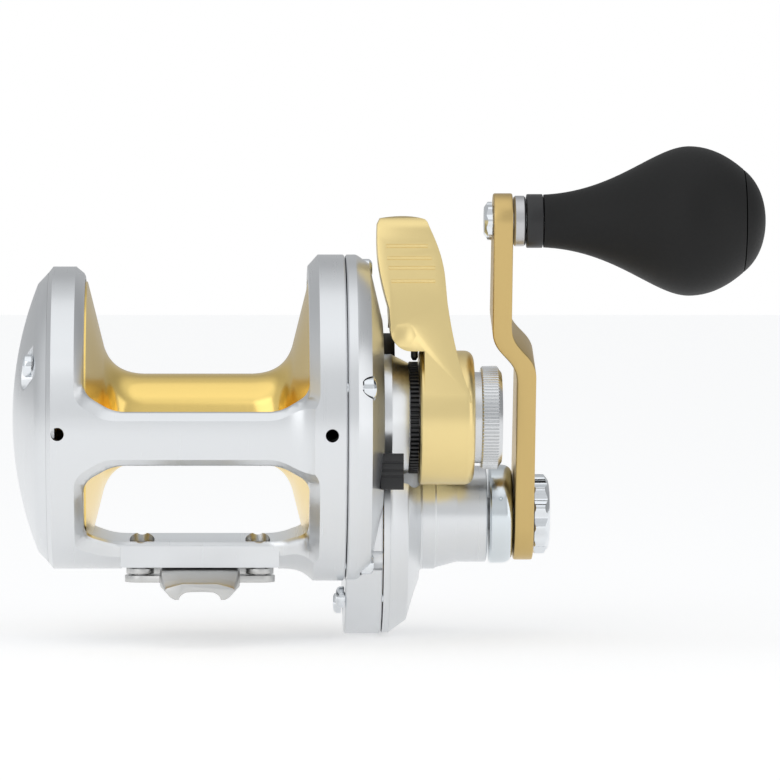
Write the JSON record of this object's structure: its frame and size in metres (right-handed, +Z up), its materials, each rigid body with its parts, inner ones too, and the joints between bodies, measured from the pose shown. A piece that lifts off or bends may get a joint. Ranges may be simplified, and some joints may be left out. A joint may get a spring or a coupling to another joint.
{
  "type": "trolling reel",
  "caption": "Lever-drag multiplier fishing reel with an open frame, a spool, a crank handle with a round knob, and a foot that fits a rod.",
  "frame": {"origin": "centre of the seat under the reel foot, where it rests on the rod", "axes": "+X along the spool axis towards the handle, +Y forward to the rod tip, +Z up away from the rod"},
  "size_m": [0.1875, 0.09, 0.1232],
  "materials": {
    "silver": "satin polished anodising",
    "gold": "polished gold anodising",
    "lever_gold": "satin gold anodising",
    "chrome": "polished",
    "steel": "plain",
    "foot_grey": "satin",
    "brass": "machined",
    "black": "matt black",
    "rubber": "matt black",
    "carbon": "woven carbon friction material"
  },
  "bodies": {
    "housing": {"reel_frame": "silver", "left_cover": "silver", "left_cover_screw_1": "steel", "left_cover_screw_2": "steel", "left_cover_screw_3": "steel", "side_plate": "silver", "side_plate_screw_1": "chrome", "side_plate_screw_2": "chrome", "side_plate_screw_3": "chrome", "side_plate_screw_4": "chrome", "gear_cover": "silver", "gear_cover_screw_1": "chrome", "gear_cover_screw_2": "chrome", "reel_foot": "foot_grey", "foot_spacer_1": "foot_grey", "foot_spacer_2": "foot_grey", "foot_spacer_3": "foot_grey", "foot_spacer_4": "foot_grey", "foot_screw_1": "steel", "foot_screw_2": "steel", "foot_screw_3": "steel", "foot_screw_4": "steel", "detent_ring": "black", "free_stop": "black", "shaft_bush": "brass", "pinion_bearing_left": "steel", "pinion_bearing_right": "steel", "drive_bearing_left": "steel", "drive_bearing_right": "steel", "dog_pin": "steel"},
    "lever": {"drag_lever": "lever_gold", "lever_cam": "steel", "detent_plunger": "black"},
    "shaft": {"spool_shaft": "steel", "cam_follower": "steel", "return_spring": "steel"},
    "spool_assembly": {"spool": "gold", "spool_bearing_left": "steel", "spool_bearing_right": "steel", "click_gear": "brass", "drag_washer": "carbon"},
    "preset": {"preset_knob": "chrome"},
    "pinion": {"pinion_gear": "steel", "drag_plate": "steel"},
    "handle": {"drive_shaft": "steel", "drive_gear": "brass", "ratchet": "steel", "handle_collar": "chrome", "handle_arm": "lever_gold", "handle_nut": "chrome", "knob_spindle": "chrome", "knob_washer": "steel"},
    "grip": {"knob_collar": "black", "knob_grip": "rubber", "knob_cap": "black"},
    "strike": {"strike_button": "black"},
    "clicker": {"clicker_button": "chrome", "clicker_tongue": "steel"},
    "dog": {"anti_reverse_dog": "steel"}
  },
  "joints": [
    {"name": "drag_lever", "type": "hinge", "parent": "housing", "child": "lever", "pos_m": [0, 0, 0.0425], "axis": [-1, 0, 0], "range_deg": [-81, 27]},
    {"name": "shaft_slide", "type": "slide", "parent": "housing", "child": "shaft", "axis": [1, 0, 0], "range_m": [-0.00070685, 0.00023561]},
    {"name": "spool_spin", "type": "hinge", "parent": "shaft", "child": "spool_assembly", "pos_m": [0, 0, 0.0425], "axis": [1, 0, 0], "continuous": true},
    {"name": "preset_turn", "type": "hinge", "parent": "shaft", "child": "preset", "pos_m": [0, 0, 0.0425], "axis": [1, 0, 0], "range_deg": [-170, 170]},
    {"name": "pinion_spin", "type": "hinge", "parent": "housing", "child": "pinion", "pos_m": [0, 0, 0.0425], "axis": [1, 0, 0], "continuous": true},
    {"name": "handle_crank", "type": "hinge", "parent": "housing", "child": "handle", "pos_m": [0, 0.0189, 0.0173], "axis": [1, 0, 0], "continuous": true},
    {"name": "knob_spin", "type": "hinge", "parent": "handle", "child": "grip", "pos_m": [0, -0.00527, 0.09167], "axis": [1, 0, 0], "continuous": true},
    {"name": "strike_press", "type": "slide", "parent": "housing", "child": "strike", "axis": [-1, 0, 0], "range_m": [0, 0.0018], "stiffness_N_per_m": 500, "springref_m": -0.001},
    {"name": "clicker_slide", "type": "slide", "parent": "housing", "child": "clicker", "axis": [0, 0.8829, -0.4695], "range_m": [0, 0.0032]},
    {"name": "dog_lift", "type": "hinge", "parent": "housing", "child": "dog", "pos_m": [0, 0.01315, 0.00151], "axis": [1, 0, 0], "range_deg": [0, 16], "stiffness_Nm_per_rad": 0.002, "springref_deg": -11.46}
  ],
  "couplings": [
    {"joint": "drag_lever", "follows": "shaft_slide", "rad_per_m": 2000},
    {"joint": "pinion_spin", "follows": "handle_crank", "ratio": -3.5},
    {"joint": "spool_spin", "follows": "handle_crank", "ratio": -3.5}
  ]
}
